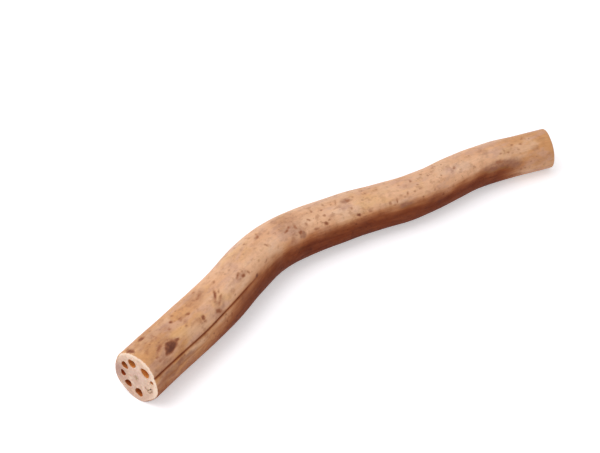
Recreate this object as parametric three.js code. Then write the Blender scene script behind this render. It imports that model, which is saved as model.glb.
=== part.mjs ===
// A cut length of lotus root, lying on its side.
// It grew as one piece, so it is one solid: a gently S-bent round stem, thicker near one cut,
// with a ring of air channels that runs through it from cut to cut.
// Millimetres, +Z up. +X runs from the wide cut to the narrow one, and z = 0 is the surface it lies on.

import * as THREE from 'three';

// The axis of the root: [x, y, radius there], at even steps along its length.
const AXIS_POINTS = [
  [-180.7, -0.9, 16],
  [-116, 17.5, 16.5],
  [-55.5, 38.5, 16.6],
  [2, 34, 16.1],
  [59, 21, 15.5],
  [120, 17, 15.1],
  [181, 0, 15.1],
];

// How far each cut plane leans along the root, per millimetre to the left and per millimetre up.
const WIDE_CUT = { left: 0, up: 0.11 };
const NARROW_CUT = { left: 0.28, up: -0.2 };

// The root is soft, so its underside is pressed flat by this much where it lies.
const REST_FLAT = 0.4;

// Faint ridges along the stem, in parts of its radius.
const RIDGES = { count: 5, firstAngle: 49, atWideCut: 0.02, atNarrowCut: 0.008, twist: 25 };

// A crease in the skin, low on the right flank, that fades out along the root.
const CREASE = { angle: 152, halfWidth: 2.5, depth: 0.045, length: 0.28 };

// The air channels: angle of each from the left flank over the top, distance of its centre from the
// axis, its width around the axis and its width towards it. All distances are in parts of the radius.
const CHANNELS = [
  { angle: 29, ring: 0.59, around: 0.29, inward: 0.3 },
  { angle: 73, ring: 0.57, around: 0.33, inward: 0.34 },
  { angle: 135, ring: 0.61, around: 0.42, inward: 0.31 },
  { angle: 168, ring: 0.75, around: 0.15, inward: 0.15 },
  { angle: 200, ring: 0.64, around: 0.31, inward: 0.28 },
  { angle: 260, ring: 0.62, around: 0.36, inward: 0.33 },
  { angle: 309, ring: 0.61, around: 0.3, inward: 0.31 },
  { angle: 350, ring: 0.61, around: 0.26, inward: 0.24 },
];

// How finely the solid is faceted.
const SECTIONS = 34;
const SKIN_SIDES = 36;
const CHANNEL_SIDES = 8;

const { degToRad, lerp, smoothstep } = THREE.MathUtils;

// The third coordinate of this curve is the radius, so that it changes as smoothly as the bend does.
const axisCurve = new THREE.CatmullRomCurve3(
  AXIS_POINTS.map(([x, y, radius]) => new THREE.Vector3(x, y, radius)),
  false,
  'catmullrom',
);

// The skin's outline in a section of radius 1, with three points close together for the crease.
function skinOutline() {
  const angles = [];
  for (let side = 0; side < SKIN_SIDES; side += 1) {
    const angle = (360 * side) / SKIN_SIDES;
    if (Math.abs(angle - CREASE.angle) > CREASE.halfWidth) {
      angles.push(angle);
    }
  }
  angles.push(CREASE.angle - CREASE.halfWidth, CREASE.angle, CREASE.angle + CREASE.halfWidth);
  angles.sort((first, second) => first - second);
  return angles.map((angle) => {
    const turn = degToRad(angle);
    return new THREE.Vector2(Math.cos(turn), Math.sin(turn));
  });
}

// One channel's outline: an ellipse whose one axis points at the middle of the section.
function channelOutline({ angle, ring, around, inward }) {
  const turn = degToRad(angle);
  const outline = new THREE.EllipseCurve(
    ring * Math.cos(turn),
    ring * Math.sin(turn),
    inward / 2,
    around / 2,
    0,
    2 * Math.PI,
    true,
    turn,
  );
  return new THREE.Path(outline.getPoints(CHANNEL_SIDES).slice(0, CHANNEL_SIDES));
}

// The radius at one angle of a section as a part of its mean radius, for a point of the section
// at the given distance from the axis. The crease only reaches the skin.
function fullness(turn, distance, s) {
  const ridgeTurn = turn - degToRad(RIDGES.firstAngle + RIDGES.twist * s);
  const ridge = lerp(RIDGES.atWideCut, RIDGES.atNarrowCut, s) * Math.cos(RIDGES.count * ridgeTurn);
  const fromCrease = turn - degToRad(CREASE.angle);
  const inCrease = distance > 0.99 && Math.abs(fromCrease) < degToRad(CREASE.halfWidth) / 2;
  const crease = inCrease ? CREASE.depth * (1 - smoothstep(s, 0, CREASE.length)) : 0;
  return 1 + ridge - crease;
}

// Carries a point (u, v) of the section of radius 1 to its place at s, from 0 at the wide cut to 1.
// u points to the root's left and v up. The section leans with the cuts, and what would lie below
// the surface is flattened onto it.
function pointOnRoot(u, v, s) {
  const axisPoint = axisCurve.getPoint(s);
  const heading = axisCurve.getTangent(s).setZ(0).normalize();
  const radius = axisPoint.z;
  const height = radius * fullness(-Math.PI / 2, 1, s) - REST_FLAT;
  const reach = radius * fullness(Math.atan2(v, u), Math.hypot(u, v), s);
  const left = u * reach;
  const up = Math.max(v * reach, -height);
  const lean = left * lerp(WIDE_CUT.left, NARROW_CUT.left, s) + up * lerp(WIDE_CUT.up, NARROW_CUT.up, s);
  return new THREE.Vector3(
    axisPoint.x - heading.y * left + heading.x * lean,
    axisPoint.y + heading.x * left + heading.y * lean,
    height + up,
  );
}

function rootGeometry() {
  const section = new THREE.Shape(skinOutline());
  section.holes = CHANNELS.map(channelOutline);
  const geometry = new THREE.ExtrudeGeometry(section, { depth: 1, steps: SECTIONS, bevelEnabled: false });
  const places = geometry.getAttribute('position');
  for (let index = 0; index < places.count; index += 1) {
    const point = pointOnRoot(places.getX(index), places.getY(index), places.getZ(index));
    places.setXYZ(index, point.x, point.y, point.z);
  }
  geometry.computeBoundingBox();
  const middle = geometry.boundingBox.getCenter(new THREE.Vector3());
  geometry.translate(-middle.x, -middle.y, 0);
  geometry.computeVertexNormals();
  return geometry;
}

const skin = new THREE.MeshStandardMaterial({ color: 0xcf9e70, roughness: 0.55, metalness: 0 });
const lotusRoot = new THREE.Mesh(rootGeometry(), skin);
lotusRoot.name = 'lotus_root';

const part = new THREE.Group();
part.add(lotusRoot);

export default part;
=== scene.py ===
"""A cut length of lotus root on a pale floor, as a Blender add-on that also runs as a script.

The root is one closed surface. Its skin, its two cut faces and its air channels are grids of two
parameters, worked out with numpy in a flat cross-section and then carried along the bent axis.
All lengths are in metres unless a name or a comment says otherwise.
"""

import bmesh
import bpy
import numpy as np
from bpy.props import FloatProperty, FloatVectorProperty, IntProperty, PointerProperty
from mathutils import Euler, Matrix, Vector


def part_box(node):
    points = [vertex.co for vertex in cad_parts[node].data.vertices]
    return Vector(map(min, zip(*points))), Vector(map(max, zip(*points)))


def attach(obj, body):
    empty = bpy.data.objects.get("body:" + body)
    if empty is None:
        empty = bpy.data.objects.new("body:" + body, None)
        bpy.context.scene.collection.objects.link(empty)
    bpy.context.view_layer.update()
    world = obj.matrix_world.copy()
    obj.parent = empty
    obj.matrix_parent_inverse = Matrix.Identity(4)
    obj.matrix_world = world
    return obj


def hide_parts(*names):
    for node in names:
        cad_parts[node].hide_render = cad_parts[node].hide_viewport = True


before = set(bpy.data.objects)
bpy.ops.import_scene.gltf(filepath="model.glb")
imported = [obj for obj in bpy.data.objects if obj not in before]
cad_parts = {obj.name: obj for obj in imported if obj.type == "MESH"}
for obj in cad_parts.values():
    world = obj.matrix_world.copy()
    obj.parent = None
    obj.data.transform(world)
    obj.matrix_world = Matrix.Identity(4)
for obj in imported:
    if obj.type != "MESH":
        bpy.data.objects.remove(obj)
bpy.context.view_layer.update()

bl_info = {
    "name": "Lotus Root",
    "version": (1, 0, 0),
    "blender": (4, 5, 0),
    "location": "3D View > Sidebar > Lotus Root",
    "description": "Builds a cut length of lotus root and a stage to look at it on",
    "category": "Add Mesh",
}

MM = 0.001
NODE = "lotus_root"
PIECE = "lotus_root_whole"

# ---------------------------------------------------------------------------------------------
# The root's form, from the same driving sizes as its solid
# ---------------------------------------------------------------------------------------------

# The axis: x along the root, y to its left and the radius there, at even steps along it.
AXIS_POINTS = MM * np.array(
    [
        [-180.7, -0.9, 16.0],
        [-116, 17.5, 16.5],
        [-55.5, 38.5, 16.6],
        [2, 34, 16.1],
        [59, 21, 15.5],
        [120, 17, 15.1],
        [181, 0, 15.1],
    ]
)
MEAN_RADIUS = AXIS_POINTS[:, 2].mean()

# How far the wide and the narrow cut lean along the root, per metre to the left and per metre up.
CUT_LEAN_LEFT = (0.0, 0.28)
CUT_LEAN_UP = (0.11, -0.2)

REST_FLAT = 0.4 * MM  # the underside is pressed flat by this much
UNDERSIDE = -np.pi / 2

# Faint ridges along the stem: how many, where the first is, their twist and their height as a
# part of the radius at the wide and the narrow cut.
RIDGES = 5
RIDGE_TURN = np.radians(49)
RIDGE_TWIST = np.radians(25)
RIDGE_HEIGHT = (0.02, 0.008)

# The air channels: angle from the left flank over the top, distance from the axis, width around
# the axis and width towards it. The distances are parts of the radius.
CHANNELS = (
    (29, 0.59, 0.29, 0.30),
    (73, 0.57, 0.33, 0.34),
    (135, 0.61, 0.42, 0.31),
    (168, 0.75, 0.15, 0.15),
    (200, 0.64, 0.31, 0.28),
    (260, 0.62, 0.36, 0.33),
    (309, 0.61, 0.30, 0.31),
    (350, 0.61, 0.26, 0.24),
)
CHANNEL_WAVES = ((2, 0.05), (3, 0.06), (5, 0.02))  # crests around a channel, and their height
CHANNEL_DRIFT = (-9, 9)  # how far such a wave may turn from cut to cut, in radians
CHANNEL_SEED = 100
MOUTH_ROWS = MM * np.array([0.6, 1.2, 2, 3, 4.5, 6.5])  # extra rows of faces, this far from a cut

# Each channel's lining: its colour from brown, 0, to tan, 1, and how far in it stays pale,
# compared with most of them. The tan is partly painted glow of light through the flesh, and the
# brown partly painted shade deep in the channel.
LININGS = (0.45, 0.85, 1.0, 1.0, 0.5, 0.35, 0.2, 0.0)
PALE_MOUTHS = (1, 1, 1, 1.8, 5, 1, 1, 1)

# Torn flesh bridges one channel at the wide cut, and leaves a slit on each side.
TORN_CHANNEL = 4
TEAR_TURN = np.radians(-38)  # the direction from one slit to the other
TEAR_OPEN = 0.1  # nothing is pinched where the sine of the angle to that direction is less
TEAR_EASE = 0.7  # the pinch takes hold over this much more of the sine
TEAR_GRIP = 0.95  # how much of the channel's reach the pinch takes
TEAR_LENGTH = 3.2 * MM  # how far in along the root it falls off

# The cut faces.
CORE_REACH = 0.28  # the middle, inside the ring of channels, as a part of the radius
FACE_SPREAD = 0.85  # rows of faces are eased up to here, so they lie closest at the mouths
DISH_DEPTH = 0.22 * MM
DISH_REACH = 1.1  # where the shallow dish ends, as a part of the mean radius
BLADE_STEP = 0.04 * MM  # half the height of the faint steps that a blade leaves
BLADE_WAY = (0.8, 0.6)  # across the steps, to the left and up
BLADE_LENGTH = 1.7 * MM  # for one radian of a step
BLADE_WANDER = 7 * MM
RIM_FADE_MM = 0.9  # how far in the relief is carried on, over the rim and into a channel
LIP_FADE_MM = 0.6

# The long crease low on the right flank and the short one under it: angle at the wide cut, turn
# further along in degrees, length and half-width in millimetres, and depth as a part of the
# crease depth.
CREASES = (
    (154, -4, 104, 1.3, 1.0),
    (172, 3, 46, 0.9, 0.3),
)
CREASE_BEND_MM = (42, 32)  # where they begin to turn, and over what length
CREASE_WANDER = 0.4  # degrees
CREASE_WAVE = 9 * MM  # for one radian of the wandering
CREASE_PHASE = 2.85
CREASE_FLANK = 1.6  # power of the bell across a crease
CREASE_AT_CUT = 0.5  # the part of a crease's depth that it has at the very cut
CREASE_GROWS = 1.5 * MM  # from there to its full depth
CREASE_TURN = np.radians(153)  # the columns of faces lie closest together here
CREASE_SPREAD = np.radians(9)  # and the closeness falls off over this angle

# Uneven fields on the skin: seed, number of cosines, most crests around and along the root, and
# how fast their height falls as they become finer.
SWELLINGS = (11, 40, 6, 16, 0.7)
RIBS = (23, 60, 46, 12, 0.1)
BROWN_SHADE_EDGE = (37, 40, 5, 22, 0.4)
RAGGED_ALONG = (51, 40, 36, 120, 0.0)
RAGGED_AROUND = (52, 40, 36, 120, 0.0)
PHASES = (0, 6.28)  # the range of random phases, in radians
CALM_SLOPE = 3  # how fast the unevenness grows up the flanks from the strip that rests

# Marks on the skin: distance from the wide cut in mm, angle in degrees, length and width in mm,
# tilt in degrees and strength. A scar is brown and slightly sunken, and dark where it is strong.
SCARS = (
    (3.6, 72, 3.2, 5.6, 0, 0.85),
    (14, 65, 4.8, 2.8, 0, 0.85),
    (19, 86, 1.2, 7.0, 0, 0.5),
    (16, 90, 2.2, 1.6, 0, 0.6),
    (12.5, 83, 2.2, 1.4, 0, 0.6),
    (28, 97, 1.8, 3.0, 0, 0.6),
    (32.6, 85, 2.6, 2.4, -20, 1.0),
    (34.5, 91, 1.6, 1.6, 0, 0.4),
    (37, 75, 2.6, 2.0, 0, 0.6),
    (37.6, 94, 3.2, 1.3, 18, 0.7),
    (36.6, 99, 2.6, 1.5, 0, 0.6),
    (42.8, 100, 3.2, 1.5, 8, 0.75),
    (36, 117, 2.0, 1.5, 0, 0.75),
    (20.2, 129.5, 10.0, 3.6, -14, 1.15),
    (21.0, 124.5, 7.0, 4.6, 10, 1.1),
    (20.0, 119.5, 4.0, 3.0, 0, 1.0),
    (25.4, 124, 4.0, 2.2, 20, 0.9),
    (16.5, 130.5, 5.2, 2.8, -20, 1.0),
    (18.2, 125.5, 4.2, 3.4, 0, 1.0),
    (14, 114, 7.4, 1.8, -20, 0.75),
    (9.5, 124, 2.4, 1.8, 0, 0.7),
    (10, 133, 3.0, 1.8, 0, 0.5),
    (6, 119, 2.4, 1.6, 0, 0.3),
    (5, 130, 3.4, 1.6, 0, 0.2),
    (48, 127, 3.4, 3.2, -30, 0.85),
    (47.5, 135, 2.4, 1.8, 0, 0.75),
    (50, 86, 4.6, 1.4, -8, 0.4),
    (58.5, 84, 4.8, 2.0, -14, 0.6),
    (55.5, 88, 3.4, 1.8, 0, 0.55),
    (59, 67, 1.8, 1.6, 0, 0.65),
    (64.4, 109, 8.6, 1.3, -44, 1.0),
    (68, 108, 3.2, 1.4, -34, 0.65),
    (66, 120, 3.8, 1.6, -16, 0.75),
    (62.6, 127, 5.4, 1.6, -28, 0.65),
    (59, 139, 4.4, 3.0, 30, 0.8),
    (72.5, 85, 2.4, 2.0, 0, 0.6),
    (85.5, 77, 2.6, 1.8, -20, 0.4),
    (85.4, 116, 5.4, 1.8, -14, 0.75),
    (88, 124, 3.2, 2.4, 0, 0.85),
    (92.8, 127, 1.8, 3.0, 0, 0.6),
    (74, 129, 6.0, 2.6, 0, 0.4),
    (96.5, 149, 3.6, 2.4, 0, 1.0),
    (102, 116, 2.6, 1.8, 0, 0.4),
    (105, 128, 3.2, 2.0, 0, 0.45),
    (111.5, 104, 2.8, 2.0, 0, 0.4),
    (110, 142, 4.4, 2.0, -10, 0.6),
    (119, 116, 1.8, 3.0, 0, 0.6),
    (121, 86, 3.6, 2.0, -14, 0.7),
    (122.6, 78, 3.2, 1.4, -50, 0.6),
    (128.6, 97, 3.2, 1.4, -30, 0.5),
    (140, 117, 5.2, 1.7, -18, 0.8),
    (143, 112, 3.0, 1.5, -30, 0.8),
    (147.6, 117, 1.8, 4.0, 0, 0.6),
    (149, 134, 3.4, 2.8, 0, 0.8),
    (159.6, 115, 1.8, 3.0, -60, 0.65),
    (156, 122, 2.4, 3.0, 0, 0.45),
    (162, 141, 4.0, 1.7, 0, 0.7),
    (170.5, 137, 3.4, 2.3, 10, 0.85),
    (167.6, 132, 2.6, 1.6, 40, 0.6),
    (173.6, 131, 2.2, 1.8, 0, 0.6),
    (165, 94, 1.9, 2.8, 0, 0.6),
    (175, 88, 1.7, 3.0, 0, 0.55),
    (180, 95, 1.6, 2.4, 0, 0.4),
    (184, 94, 4.8, 1.3, -60, 0.7),
    (188.6, 100, 1.6, 3.0, 0, 0.45),
    (192.4, 100, 3.4, 3.4, 0, 0.55),
    (166, 119, 1.6, 2.8, 0, 0.4),
    (189.6, 132, 2.2, 3.0, 0, 0.4),
    (172, 157, 3.2, 2.4, 0, 0.7),
    (195.6, 144, 3.8, 2.0, 10, 1.0),
    (205, 143, 2.2, 2.0, 0, 0.5),
    (197.5, 94, 2.2, 2.6, 0, 0.4),
    (207, 92, 2.2, 2.6, 0, 0.45),
    (206.4, 109, 2.4, 1.8, 0, 0.4),
    (221.2, 138, 2.2, 2.4, 0, 0.65),
    (226.2, 139, 1.6, 3.8, 10, 0.8),
    (224, 146, 3.2, 2.0, 0, 0.5),
    (231.4, 161, 2.8, 2.2, 0, 0.6),
    (235.6, 126, 2.6, 1.8, -50, 0.6),
    (230.4, 126, 1.8, 2.0, 0, 0.4),
    (245.6, 124, 3.4, 1.6, 0, 0.55),
    (242.6, 95, 3.4, 1.6, -50, 0.55),
    (248.6, 94, 1.8, 2.4, 0, 0.4),
    (253.4, 85, 2.2, 2.4, 0, 0.45),
    (255.8, 141, 2.4, 2.2, 0, 0.45),
    (279.4, 111, 3.8, 2.0, -26, 0.6),
    (296, 134, 3.0, 3.0, 0, 0.4),
    (323, 123, 2.8, 2.0, 0, 0.65),
    (327, 117, 2.0, 4.0, 0, 0.45),
    (329.8, 125, 3.2, 2.0, 0, 0.5),
    (333.4, 129, 4.2, 1.8, -14, 0.35),
    (335.8, 105, 3.0, 2.0, 0, 0.5),
    (339, 123, 2.0, 3.0, 0, 0.5),
    (342.4, 109, 3.4, 2.0, -10, 0.5),
    (346.4, 90, 3.6, 1.6, -50, 0.65),
    (320, 144, 8.0, 2.6, 0, 0.5),
    (326.4, 165, 4.0, 4.6, 0, 0.85),
    (7.5, 169, 11, 2.2, 0, 0.5),
    (21, 163, 5.0, 2.6, -20, 0.4),
    # this mark low on the flank is partly a scar and partly painted shade, as between two roots lying
    # side by side
    (147, 172, 9.0, 4.0, 0, 0.9),
    (52, 20, 9.0, 2.8, 12, 0.8),
    (84, 34, 3.0, 2.0, 0, 0.6),
    (96, 12, 4.0, 1.6, -30, 0.6),
    (128, 8, 3.2, 2.4, 0, 0.8),
    (168, 36, 2.4, 2.0, 0, 0.5),
    (210, 28, 6.0, 2.0, -18, 0.75),
    (244, 6, 3.0, 2.0, 0, 0.6),
    (286, 12, 4.4, 2.8, 40, 0.9),
    (330, 30, 3.0, 2.0, 0, 0.7),
    (74, 322, 7.0, 3.4, 5, 0.8),
    (120, 290, 3.6, 2.0, 0, 0.6),
    (176, 300, 5.0, 2.4, -12, 0.7),
    (262, 236, 6.4, 2.8, 16, 0.8),
    (320, 260, 4.0, 2.2, 0, 0.6),
    (352, 336, 3.0, 2.4, 0, 0.7),
)

# Stains are soft and flat, and brown to purplish. They are given in the same way as the scars.
STAINS = (
    (9, 128, 16, 9, 0, 0.35),
    (14, 117, 12, 3.4, -12, 0.4),
    (4, 70, 6, 6, 0, 0.45),
    (9, 145, 18, 4, 0, 0.45),
    (20, 166, 32, 4, 3, 0.65),
    (10, 174, 20, 4, -2, 0.5),
    (18, 92, 26, 20, 0, 0.42),
    (56, 80, 20, 14, 0, 0.38),
    (145, 102, 24, 26, 0, 0.46),
    (57, 86, 10, 4, -8, 0.45),
    (62, 132, 12, 7, -20, 0.45),
    (87, 122, 14, 5, 4, 0.45),
    (122, 84, 11, 3.4, -10, 0.45),
    (147, 124, 14, 7, 0, 0.3),
    (150, 141, 7, 6, 0, 0.65),
    (155, 128, 6, 5, 0, 0.4),
    (40, 97, 11, 3.0, 10, 0.45),
    (191, 99, 9, 4.6, 0, 0.5),
    (124, 176, 60, 6, -2, 0.35),
    (232, 154, 13, 6, 4, 0.65),
    (310, 108, 11, 11, 0, 0.4),
    (328, 118, 24, 9, 6, 0.3),
    (317, 156, 34, 10, 0, 0.7),
    (330, 161, 20, 11, 0, 0.7),
    (352, 132, 8, 5, 0, 0.4),
    (360, 111, 11, 3, -12, 0.4),
    (60, 18, 30, 7, 10, 0.6),
    (140, 350, 44, 9, -4, 0.6),
    (232, 24, 26, 6, 6, 0.5),
    (300, 350, 36, 8, 0, 0.6),
    (100, 250, 50, 9, 3, 0.5),
    (250, 290, 60, 8, -3, 0.5),
)
RAGGED = 0.4 * MM  # how far a mark's outline wanders
MARK_FADE_MM = 1.6  # the edge of a narrow mark is this soft

# The lower half of the skin is browner: partly its own colour, and partly painted shade from a
# neighbouring root and from the floor where it rests. Angles are in degrees from the top, down either
# flank.
BROWN_SHADE_BEGINS = 40
BROWN_SHADE_FULL = 90
BROWN_SHADE_SLIDE = 15  # how much lower down it begins by the narrow cut
BROWN_SHADE_DEPTH = 1.0
BROWN_SHADE_WANDER = 0.06  # how far its edge wanders, in radians
# Near the wide cut it is fainter and lower down, fully so up to the first of these distances
# and no longer from the second. Towards the narrow cut it fades out between the other two.
WIDE_END = (30 * MM, 90 * MM)
WIDE_END_LOWER = 30
WIDE_END_DEPTH = 0.5
NARROW_END = (310 * MM, 350 * MM)
LIGHT_BAND_AT = 27  # just above the brown the skin is paler than elsewhere: painted light
LIGHT_BAND_WIDTH = 14
LIGHT_BAND_BY = 0.05


def on_curve(points, t):
    """Place and slope at t, from 0 to 1, on the smooth curve through points.

    Between two points it is the cubic whose slope at a point is half the step from the point
    before it to the point after it. Each end is carried on by its mirror image.
    """
    knots = np.vstack([2 * points[0] - points[1], points, 2 * points[-1] - points[-2]])
    spans = len(points) - 1
    where = np.clip(t, 0, 1) * spans
    span = np.minimum(where.astype(int), spans - 1)
    part = (where - span)[..., None]
    before, start, end, after = (knots[span + step] for step in range(4))
    slope_in = (end - before) / 2
    slope_out = (after - start) / 2
    cubic = 2 * start - 2 * end + slope_in + slope_out
    square = 3 * end - 3 * start - 2 * slope_in - slope_out
    place = ((cubic * part + square) * part + slope_in) * part + start
    slope = (3 * cubic * part + 2 * square) * part + slope_in
    return place, slope


TABLE = np.linspace(0, 1, 2001)  # close steps of t, to measure the axis by
STEPS = np.linalg.norm(np.diff(on_curve(AXIS_POINTS, TABLE)[0][:, :2], axis=0), axis=1)
LENGTHS = np.concatenate([[0], np.cumsum(STEPS)])  # distance along the axis at each t of TABLE


def blend(pair, t):
    """From the pair's first value at t = 0 to its second at t = 1, in a straight line."""
    return pair[0] + (pair[1] - pair[0]) * t


def ease(t):
    """Three t squared less two t cubed, with t held between 0 and 1."""
    t = np.clip(t, 0, 1)
    return t * t * (3 - 2 * t)


def ease_between(value, pair):
    """0 up to the pair's first value, 1 from its second, and eased in between."""
    return ease((value - pair[0]) / (pair[1] - pair[0]))


def fullness(turn, t):
    """The radius at an angle as a part of the mean radius: 1 plus a cosine with RIDGES crests."""
    return 1 + blend(RIDGE_HEIGHT, t) * np.cos(RIDGES * (turn - RIDGE_TURN - RIDGE_TWIST * t))


def carry(left, up, t, ahead=0.0):
    """Carries points of the flat cross-section to their places on the bent root.

    A point left and up of the axis at t goes that far along the axis's own left and up, and then
    ahead plus the cut's lean along its heading. The section stands with its underside REST_FLAT
    below the surface, and whatever lies lower is flattened onto it.
    """
    left, up, t = np.broadcast_arrays(left, up, t)
    middle, slope = on_curve(AXIS_POINTS, t)
    heading = slope[..., :2] / np.linalg.norm(slope[..., :2], axis=-1, keepdims=True)
    height = middle[..., 2] * fullness(UNDERSIDE, t) - REST_FLAT
    up = np.maximum(up, -height)
    along = ahead + left * blend(CUT_LEAN_LEFT, t) + up * blend(CUT_LEAN_UP, t)
    x = middle[..., 0] - heading[..., 1] * left + heading[..., 0] * along
    y = middle[..., 1] + heading[..., 0] * left + heading[..., 1] * along
    return np.stack([x, y, height + up], axis=-1)


def way_along(left, up, t):
    """Distance from the wide cut: that of the axis at t, plus what the cut's lean adds."""
    lean = left * blend(CUT_LEAN_LEFT, t) + up * blend(CUT_LEAN_UP, t)
    return np.interp(t, TABLE, LENGTHS) + lean


def grown_place(left, up, t):
    """A point's place in the root as if it were straight: along, left and up, in millimetres."""
    along, left, up = np.broadcast_arrays(way_along(left, up, t), left, up)
    return np.stack([along, left, up], -1) / MM


def depth_mm(t):
    """Distance along the axis from the nearer cut, in millimetres."""
    return np.minimum(t, 1 - t) * LENGTHS[-1] / MM


def radius_at(t):
    """The mean radius at t along the axis."""
    return on_curve(AXIS_POINTS, np.asarray(t, float))[0][..., 2]


def around_at(reach, turn):
    """Left and up of the point at a distance from the axis and an angle around it."""
    return reach * np.cos(turn), reach * np.sin(turn)


def waves(kind, turn, t):
    """A smooth uneven field between about -1 and 1 that closes around the stem.

    It is a sum of cosines. Each has a whole number of crests around and any number of crests
    along the root, up to the kind's most. Its height is 1 plus the crests around plus an eighth
    of those along, to the power minus fall. The sum is divided by the root of twice the sum of
    the squared heights.
    """
    seed, count, around, along, fall = kind
    draw = np.random.default_rng(seed)
    total = np.zeros(np.broadcast(turn, t).shape)
    weight = 0.0
    for _ in range(count):
        crests = draw.integers(0, around + 1)
        length = draw.uniform(1, along)
        height = (1 + crests + length / 8) ** -fall
        total += height * np.cos(crests * turn + 2 * np.pi * length * t + draw.uniform(*PHASES))
        weight += height**2
    return total / np.sqrt(2 * weight)


def between(turn, line):
    """The angle from line to turn, the short way round."""
    return (turn - line + np.pi) % (2 * np.pi) - np.pi


def mark_field(marks, turn, along):
    """The strongest mark at each point of the skin, from 0 to 1.

    A mark is an oval in the plane of distance along the root and distance around it, turned by
    its tilt. It has half of its strength at its edge, and fades there over its own half-width, or
    over MARK_FADE_MM where it is narrower. A fine unevenness makes its outline ragged.
    """
    field = np.zeros(turn.shape)
    t = along / LENGTHS[-1]
    along = along + RAGGED * waves(RAGGED_ALONG, turn, t)
    turn = turn + RAGGED / MEAN_RADIUS * waves(RAGGED_AROUND, turn, t)
    for place_mm, angle, length, width, tilt, strength in marks:
        onward = along / MM - place_mm
        around = between(turn, np.radians(angle)) * MEAN_RADIUS / MM
        cos, sin = np.cos(np.radians(tilt)), np.sin(np.radians(tilt))
        long_way = (onward * cos + around * sin) / (length / 2)
        short_way = (around * cos - onward * sin) / (width / 2)
        half_width = min(length, width) / 2
        inside = (1 - np.hypot(long_way, short_way)) * half_width / max(half_width, MARK_FADE_MM)
        field = np.maximum(field, strength * ease(0.5 + inside))
    return field


def crease_field(turn, along):
    """How deep in a crease each point of the skin lies, from 0 to 1.

    Across a crease it is a narrow bell around the crease's line, which turns a little further
    along the root and wanders by a sine. Along the crease it fades out over the last quarter.
    """
    field = np.zeros(turn.shape)
    bend = ease((along / MM - CREASE_BEND_MM[0]) / CREASE_BEND_MM[1])
    wander = CREASE_WANDER * np.sin(along / CREASE_WAVE + CREASE_PHASE)
    for angle, twist, length_mm, half_width, depth in CREASES:
        part = along / MM / length_mm
        line = np.radians(angle + twist * bend + wander)
        across = between(turn, line) * MEAN_RADIUS / MM
        bell = np.exp(-np.abs(across / (half_width / 2)) ** CREASE_FLANK)
        field = np.maximum(field, depth * bell * (1 - ease(4 * part - 3)))
    return field


def brown_and_shade_field(turn, along):
    """How far each point of the skin is in the lower half's brown, which is partly its own colour and
    partly painted shade.

    It eases from nothing to the depth there between two angles from the top, on either side.
    Both angles are larger, and the depth less, near the wide cut. Towards the narrow cut it
    begins lower down and fades out. Waves make it uneven, and a bell just above it a little
    paler, which is painted light.
    """
    t = along / LENGTHS[-1]
    from_top = np.abs(between(turn, np.pi / 2)) + BROWN_SHADE_WANDER * waves(BROWN_SHADE_EDGE, turn, t)
    from_top = np.degrees(from_top)
    wide_end = 1 - ease_between(along, WIDE_END)
    start = BROWN_SHADE_BEGINS + WIDE_END_LOWER * wide_end + BROWN_SHADE_SLIDE * t
    end = BROWN_SHADE_FULL + WIDE_END_LOWER * wide_end
    depth = blend((BROWN_SHADE_DEPTH, WIDE_END_DEPTH), wide_end) * (1 - ease_between(along, NARROW_END))
    painted_light = LIGHT_BAND_BY * np.exp(-(((from_top - LIGHT_BAND_AT) / LIGHT_BAND_WIDTH) ** 2)) * ease(depth)
    return depth * ease_between(from_top, (start, end)) - painted_light


def skin_reach(turn, t, form):
    """Distance of the skin from the axis.

    It is the mean radius times its fullness, less the scars' shallow pits and the creases, which
    are shallower at the cut. A gentle unevenness and fine long ribs that close around are added,
    and the skin is drawn in a little so that they stay within the solid's box. Neither is done
    where the underside rests.
    """
    radius = radius_at(t)
    along = way_along(*around_at(radius, turn), t)
    uneven = waves(SWELLINGS, turn, t) * form.unevenness
    ribs = waves(RIBS, turn, t) * form.rib_height
    pits = mark_field(SCARS, turn, along) * form.scar_depth
    deepening = blend((CREASE_AT_CUT, 1), ease(along / CREASE_GROWS))
    creases = crease_field(turn, along) * form.crease_depth * deepening
    settle = ease((np.sin(turn) + 1) * CALM_SLOPE)
    return radius * fullness(turn, t) + (uneven + ribs - form.skin_inset) * settle - pits - creases


# ---------------------------------------------------------------------------------------------
# The surface, grid by grid
# ---------------------------------------------------------------------------------------------

JOIN_DISTANCE = 1e-6
FINE_TURNS = 20000  # steps around the stem for spacing its columns
OUTLINE_TURNS = 361  # steps around and along the plain root for finding its box
OUTLINE_ROWS = 400
POINT_VALUES = ("scar", "stain", "crease", "brown_and_shade", "rim", "depth", "lining")
SKIN_SLOT, FLESH_SLOT, CHANNEL_SLOT = range(3)

# The bake map. Each box is left, bottom, width and height. The skin lies in two boxes, each half
# of its length in one. A cut face keeps its shape, and the channels lie one above the other.
SKIN_BOXES = ((0.005, 0.005, 0.99, 0.34), (0.005, 0.355, 0.99, 0.34))
FACE_MIDDLE = (0.145, 0.85)
FACE_STEP = 0.285  # from one cut face's middle to the other's
FACE_SIZE = 0.28 / (2.2 * MEAN_RADIUS)
CHANNEL_BOX = (0.585, 0.712, 0.41, 0.033)
CHANNEL_STEP = 0.0355  # from one channel's box to the next


def on_map(box, across, up):
    """Places in one box of the bake map, at the given parts of its width and height."""
    return np.stack([box[0] + box[2] * across, box[1] + box[3] * up], -1)


def joined(parts, kind=np.float32):
    """All the parts as one flat array."""
    return np.concatenate(parts).astype(kind).ravel()


def closed(grid):
    """The grid with its first column once more at its end."""
    return np.concatenate([grid, grid[:, :1]], axis=1)


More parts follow.
